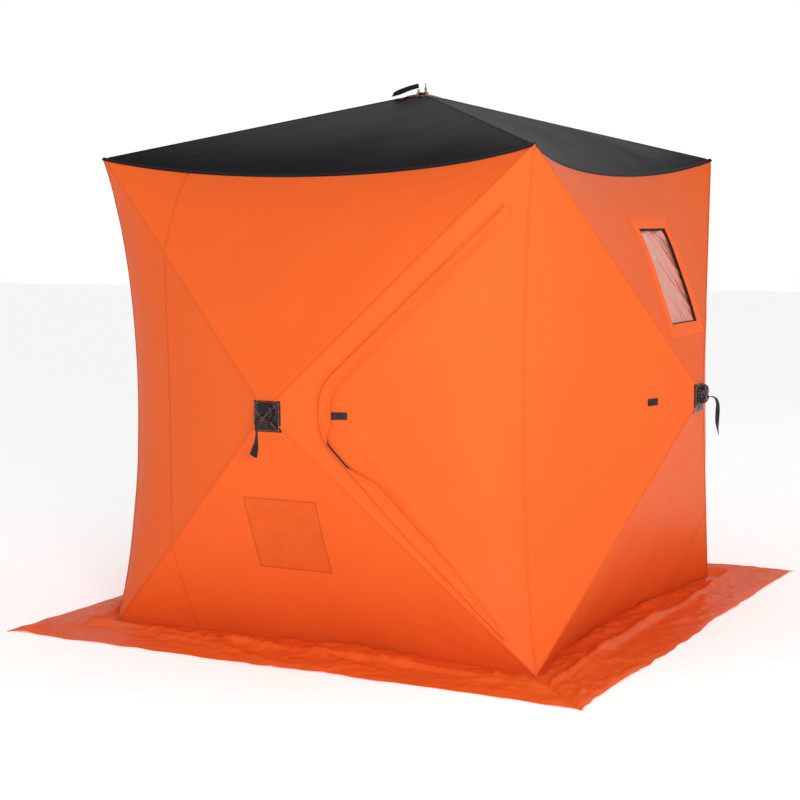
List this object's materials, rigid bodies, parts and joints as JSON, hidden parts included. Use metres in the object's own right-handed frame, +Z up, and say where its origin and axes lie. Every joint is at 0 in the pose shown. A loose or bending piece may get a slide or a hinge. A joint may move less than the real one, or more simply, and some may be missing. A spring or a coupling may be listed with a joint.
{
  "type": "ice fishing shelter",
  "caption": "Square pop-up ice fishing shelter with hub-and-pole sides, zipped door flap, window, black roof and ground skirt.",
  "frame": {"origin": "centre of the square footprint, on the ground plane under the skirt", "axes": "+Z up; -Y is the side with the door, +X is the side with the window"},
  "size_m": [2.475, 2.475, 2.1013],
  "materials": {
    "wall_fabric": "coated polyester weave, satin",
    "roof_fabric": "coated polyester weave, satin",
    "skirt_fabric": "coated polyester weave, creased",
    "black_webbing": "woven polyester webbing",
    "pocket_fabric": "coated polyester weave",
    "hook_and_loop": "brushed nylon pile",
    "fibreglass": "pultruded rod, semi-gloss black",
    "hub_plastic": "moulded glass-filled nylon",
    "pin_steel": "turned steel",
    "plated_steel": "black plated steel",
    "slider_metal": "black lacquered die casting",
    "zip_tape": "woven zip tape with coil",
    "border_fabric": "coated polyester binding",
    "window_film": "clear vinyl film, wrinkled"
  },
  "bodies": {
    "root": {"front_wall": "wall_fabric", "right_wall": "wall_fabric", "back_wall": "wall_fabric", "left_wall": "wall_fabric", "roof_cloth": "roof_fabric", "skirt": "skirt_fabric", "upper_pole_pockets": "black_webbing", "lower_pole_pockets": "black_webbing", "inner_pocket": "pocket_fabric", "wall_tab": "hook_and_loop"},
    "front_hub_body": {"front_hub": "hub_plastic", "front_hub_pins": "pin_steel", "front_hub_plate": "plated_steel"},
    "front_pole_upper_right_body": {"front_pole_upper_right": "fibreglass"},
    "front_pole_upper_left_body": {"front_pole_upper_left": "fibreglass"},
    "front_pole_lower_left_body": {"front_pole_lower_left": "fibreglass"},
    "front_pole_lower_right_body": {"front_pole_lower_right": "fibreglass"},
    "front_strap_body": {"front_pull_strap": "black_webbing"},
    "right_hub_body": {"right_hub": "hub_plastic", "right_hub_pins": "pin_steel", "right_hub_plate": "plated_steel"},
    "right_pole_upper_right_body": {"right_pole_upper_right": "fibreglass"},
    "right_pole_upper_left_body": {"right_pole_upper_left": "fibreglass"},
    "right_pole_lower_left_body": {"right_pole_lower_left": "fibreglass"},
    "right_pole_lower_right_body": {"right_pole_lower_right": "fibreglass"},
    "right_strap_body": {"right_pull_strap": "black_webbing"},
    "back_hub_body": {"back_hub": "hub_plastic", "back_hub_pins": "pin_steel", "back_hub_plate": "plated_steel"},
    "back_pole_upper_right_body": {"back_pole_upper_right": "fibreglass"},
    "back_pole_upper_left_body": {"back_pole_upper_left": "fibreglass"},
    "back_pole_lower_left_body": {"back_pole_lower_left": "fibreglass"},
    "back_pole_lower_right_body": {"back_pole_lower_right": "fibreglass"},
    "back_strap_body": {"back_pull_strap": "black_webbing"},
    "left_hub_body": {"left_hub": "hub_plastic", "left_hub_pins": "pin_steel", "left_hub_plate": "plated_steel"},
    "left_pole_upper_right_body": {"left_pole_upper_right": "fibreglass"},
    "left_pole_upper_left_body": {"left_pole_upper_left": "fibreglass"},
    "left_pole_lower_left_body": {"left_pole_lower_left": "fibreglass"},
    "left_pole_lower_right_body": {"left_pole_lower_right": "fibreglass"},
    "left_strap_body": {"left_pull_strap": "black_webbing"},
    "roof_hub_body": {"roof_hub": "hub_plastic", "roof_hub_pins": "pin_steel", "roof_hub_plate": "plated_steel"},
    "roof_pole_back_right_body": {"roof_pole_back_right": "fibreglass"},
    "roof_pole_back_left_body": {"roof_pole_back_left": "fibreglass"},
    "roof_pole_front_left_body": {"roof_pole_front_left": "fibreglass"},
    "roof_pole_front_right_body": {"roof_pole_front_right": "fibreglass"},
    "roof_strap_body": {"roof_pull_strap": "black_webbing"},
    "roof_ring_body": {"roof_ring": "plated_steel"},
    "front_door_side_body": {"front_wall_door_side": "wall_fabric", "door_zip": "zip_tape"},
    "right_window_side_body": {"right_wall_window_side": "wall_fabric", "window_border": "border_fabric"},
    "door_body": {"door_panel": "wall_fabric", "door_tab": "hook_and_loop"},
    "zip_slider_upper_body": {"zip_slider_upper": "slider_metal"},
    "zip_slider_lower_body": {"zip_slider_lower": "slider_metal"},
    "window_film_body": {"window_film": "window_film"}
  },
  "joints": [
    {"name": "front_hub_pop", "type": "slide", "parent": "root", "child": "front_hub_body", "axis": [0, -1, 0], "range_m": [-0.528, 0], "deforming": ["front_wall", "front_wall_door_side", "door_panel", "door_zip", "inner_pocket", "door_tab"]},
    {"name": "front_pole_upper_right_lean", "type": "hinge", "parent": "front_hub_body", "child": "front_pole_upper_right_body", "pos_m": [0.02687, -1.15, 0.92687], "axis": [0.7071, 0, -0.7071], "range_deg": [-0.05, 25.96]},
    {"name": "front_pole_upper_left_lean", "type": "hinge", "parent": "front_hub_body", "child": "front_pole_upper_left_body", "pos_m": [-0.02687, -1.15, 0.92687], "axis": [0.7071, 0, 0.7071], "range_deg": [-0.05, 25.96]},
    {"name": "front_pole_lower_left_lean", "type": "hinge", "parent": "front_hub_body", "child": "front_pole_lower_left_body", "pos_m": [-0.02687, -1.15, 0.87313], "axis": [-0.7071, 0, 0.7071], "range_deg": [-0.05, 25.96]},
    {"name": "front_pole_lower_right_lean", "type": "hinge", "parent": "front_hub_body", "child": "front_pole_lower_right_body", "pos_m": [0.02687, -1.15, 0.87313], "axis": [-0.7071, 0, -0.7071], "range_deg": [-0.05, 25.96]},
    {"name": "front_strap_swing", "type": "hinge", "parent": "front_hub_body", "child": "front_strap_body", "pos_m": [0, -1.193, 0.884], "axis": [-1, 0, 0], "range_deg": [0, 60]},
    {"name": "right_hub_pop", "type": "slide", "parent": "root", "child": "right_hub_body", "axis": [1, 0, 0], "range_m": [-0.528, 0], "deforming": ["right_wall", "right_wall_window_side", "window_border", "wall_tab"]},
    {"name": "right_pole_upper_right_lean", "type": "hinge", "parent": "right_hub_body", "child": "right_pole_upper_right_body", "pos_m": [1.15, 0.02687, 0.92687], "axis": [0, 0.7071, -0.7071], "range_deg": [-0.05, 25.96]},
    {"name": "right_pole_upper_left_lean", "type": "hinge", "parent": "right_hub_body", "child": "right_pole_upper_left_body", "pos_m": [1.15, -0.02687, 0.92687], "axis": [0, 0.7071, 0.7071], "range_deg": [-0.05, 25.96]},
    {"name": "right_pole_lower_left_lean", "type": "hinge", "parent": "right_hub_body", "child": "right_pole_lower_left_body", "pos_m": [1.15, -0.02687, 0.87313], "axis": [0, -0.7071, 0.7071], "range_deg": [-0.05, 25.96]},
    {"name": "right_pole_lower_right_lean", "type": "hinge", "parent": "right_hub_body", "child": "right_pole_lower_right_body", "pos_m": [1.15, 0.02687, 0.87313], "axis": [0, -0.7071, -0.7071], "range_deg": [-0.05, 25.96]},
    {"name": "right_strap_swing", "type": "hinge", "parent": "right_hub_body", "child": "right_strap_body", "pos_m": [1.193, 0, 0.884], "axis": [0, -1, 0], "range_deg": [0, 60]},
    {"name": "back_hub_pop", "type": "slide", "parent": "root", "child": "back_hub_body", "axis": [0, 1, 0], "range_m": [-0.528, 0], "deforming": ["back_wall"]},
    {"name": "back_pole_upper_right_lean", "type": "hinge", "parent": "back_hub_body", "child": "back_pole_upper_right_body", "pos_m": [-0.02687, 1.15, 0.92687], "axis": [-0.7071, 0, -0.7071], "range_deg": [-0.05, 25.96]},
    {"name": "back_pole_upper_left_lean", "type": "hinge", "parent": "back_hub_body", "child": "back_pole_upper_left_body", "pos_m": [0.02687, 1.15, 0.92687], "axis": [-0.7071, 0, 0.7071], "range_deg": [-0.05, 25.96]},
    {"name": "back_pole_lower_left_lean", "type": "hinge", "parent": "back_hub_body", "child": "back_pole_lower_left_body", "pos_m": [0.02687, 1.15, 0.87313], "axis": [0.7071, 0, 0.7071], "range_deg": [-0.05, 25.96]},
    {"name": "back_pole_lower_right_lean", "type": "hinge", "parent": "back_hub_body", "child": "back_pole_lower_right_body", "pos_m": [-0.02687, 1.15, 0.87313], "axis": [0.7071, 0, -0.7071], "range_deg": [-0.05, 25.96]},
    {"name": "back_strap_swing", "type": "hinge", "parent": "back_hub_body", "child": "back_strap_body", "pos_m": [0, 1.193, 0.884], "axis": [1, 0, 0], "range_deg": [0, 60]},
    {"name": "left_hub_pop", "type": "slide", "parent": "root", "child": "left_hub_body", "axis": [-1, 0, 0], "range_m": [-0.528, 0], "deforming": ["left_wall"]},
    {"name": "left_pole_upper_right_lean", "type": "hinge", "parent": "left_hub_body", "child": "left_pole_upper_right_body", "pos_m": [-1.15, -0.02687, 0.92687], "axis": [0, -0.7071, -0.7071], "range_deg": [-0.05, 25.96]},
    {"name": "left_pole_upper_left_lean", "type": "hinge", "parent": "left_hub_body", "child": "left_pole_upper_left_body", "pos_m": [-1.15, 0.02687, 0.92687], "axis": [0, -0.7071, 0.7071], "range_deg": [-0.05, 25.96]},
    {"name": "left_pole_lower_left_lean", "type": "hinge", "parent": "left_hub_body", "child": "left_pole_lower_left_body", "pos_m": [-1.15, 0.02687, 0.87313], "axis": [0, 0.7071, 0.7071], "range_deg": [-0.05, 25.96]},
    {"name": "left_pole_lower_right_lean", "type": "hinge", "parent": "left_hub_body", "child": "left_pole_lower_right_body", "pos_m": [-1.15, -0.02687, 0.87313], "axis": [0, 0.7071, -0.7071], "range_deg": [-0.05, 25.96]},
    {"name": "left_strap_swing", "type": "hinge", "parent": "left_hub_body", "child": "left_strap_body", "pos_m": [-1.193, 0, 0.884], "axis": [0, 1, 0], "range_deg": [0, 60]},
    {"name": "roof_hub_pop", "type": "slide", "parent": "root", "child": "roof_hub_body", "axis": [0, 0, 1], "range_m": [-0.488, 0], "deforming": ["roof_cloth"]},
    {"name": "roof_pole_back_right_lean", "type": "hinge", "parent": "roof_hub_body", "child": "roof_pole_back_right_body", "pos_m": [0.02687, 0.02687, 2.03], "axis": [0.7071, -0.7071, 0], "range_deg": [-0.05, 23.96]},
    {"name": "roof_pole_back_left_lean", "type": "hinge", "parent": "roof_hub_body", "child": "roof_pole_back_left_body", "pos_m": [-0.02687, 0.02687, 2.03], "axis": [0.7071, 0.7071, 0], "range_deg": [-0.05, 23.96]},
    {"name": "roof_pole_front_left_lean", "type": "hinge", "parent": "roof_hub_body", "child": "roof_pole_front_left_body", "pos_m": [-0.02687, -0.02687, 2.03], "axis": [-0.7071, 0.7071, 0], "range_deg": [-0.05, 23.96]},
    {"name": "roof_pole_front_right_lean", "type": "hinge", "parent": "roof_hub_body", "child": "roof_pole_front_right_body", "pos_m": [0.02687, -0.02687, 2.03], "axis": [-0.7071, -0.7071, 0], "range_deg": [-0.05, 23.96]},
    {"name": "roof_strap_swing", "type": "hinge", "parent": "roof_hub_body", "child": "roof_strap_body", "pos_m": [-0.01413, -0.00751, 2.073], "axis": [-0.4695, 0.8829, 0], "range_deg": [0, 80]},
    {"name": "roof_ring_tilt", "type": "hinge", "parent": "roof_hub_body", "child": "roof_ring_body", "pos_m": [0.0106, 0.00563, 2.0805], "axis": [0.4695, -0.8829, 0], "range_deg": [-70, 25]},
    {"name": "front_door_side_lean", "type": "hinge", "parent": "root", "child": "front_door_side_body", "pos_m": [0.9, -0.9, 0.9], "axis": [0, 0, -1], "range_deg": [-0.05, 32.74]},
    {"name": "right_window_side_lean", "type": "hinge", "parent": "root", "child": "right_window_side_body", "pos_m": [0.9, 0, 1.8], "axis": [0, 1, 0], "range_deg": [-0.05, 32.74]},
    {"name": "door_swing", "type": "hinge", "parent": "front_door_side_body", "child": "door_body", "pos_m": [0.79, -0.916, 0.9], "axis": [0, 0, 1], "range_deg": [0, 150]},
    {"name": "zip_upper_run", "type": "slide", "parent": "front_door_side_body", "child": "zip_slider_upper_body", "axis": [0.69, 0.2183, 0.69], "range_m": [0, 0.6043]},
    {"name": "zip_lower_run", "type": "slide", "parent": "front_door_side_body", "child": "zip_slider_lower_body", "axis": [0.69, 0.2183, -0.69], "range_m": [0, 0.6043]},
    {"name": "window_film_swing", "type": "hinge", "parent": "right_window_side_body", "child": "window_film_body", "pos_m": [0.91153, 0.022, 1.539], "axis": [0, 1, 0], "range_deg": [0, 90]}
  ],
  "couplings": [
    {"joint": "front_pole_upper_right_lean", "follows": "front_hub_pop", "rad_per_m": -0.85632},
    {"joint": "front_pole_upper_left_lean", "follows": "front_hub_pop", "rad_per_m": -0.85632},
    {"joint": "front_pole_lower_left_lean", "follows": "front_hub_pop", "rad_per_m": -0.85632},
    {"joint": "front_pole_lower_right_lean", "follows": "front_hub_pop", "rad_per_m": -0.85632},
    {"joint": "right_pole_upper_right_lean", "follows": "right_hub_pop", "rad_per_m": -0.85632},
    {"joint": "right_pole_upper_left_lean", "follows": "right_hub_pop", "rad_per_m": -0.85632},
    {"joint": "right_pole_lower_left_lean", "follows": "right_hub_pop", "rad_per_m": -0.85632},
    {"joint": "right_pole_lower_right_lean", "follows": "right_hub_pop", "rad_per_m": -0.85632},
    {"joint": "back_pole_upper_right_lean", "follows": "back_hub_pop", "rad_per_m": -0.85632},
    {"joint": "back_pole_upper_left_lean", "follows": "back_hub_pop", "rad_per_m": -0.85632},
    {"joint": "back_pole_lower_left_lean", "follows": "back_hub_pop", "rad_per_m": -0.85632},
    {"joint": "back_pole_lower_right_lean", "follows": "back_hub_pop", "rad_per_m": -0.85632},
    {"joint": "left_pole_upper_right_lean", "follows": "left_hub_pop", "rad_per_m": -0.85632},
    {"joint": "left_pole_upper_left_lean", "follows": "left_hub_pop", "rad_per_m": -0.85632},
    {"joint": "left_pole_lower_left_lean", "follows": "left_hub_pop", "rad_per_m": -0.85632},
    {"joint": "left_pole_lower_right_lean", "follows": "left_hub_pop", "rad_per_m": -0.85632},
    {"joint": "roof_pole_back_right_lean", "follows": "roof_hub_pop", "rad_per_m": -0.85524},
    {"joint": "roof_pole_back_left_lean", "follows": "roof_hub_pop", "rad_per_m": -0.85524},
    {"joint": "roof_pole_front_left_lean", "follows": "roof_hub_pop", "rad_per_m": -0.85524},
    {"joint": "roof_pole_front_right_lean", "follows": "roof_hub_pop", "rad_per_m": -0.85524},
    {"joint": "front_door_side_lean", "follows": "front_hub_pop", "rad_per_m": -1.0805},
    {"joint": "right_window_side_lean", "follows": "right_hub_pop", "rad_per_m": -1.0805}
  ]
}
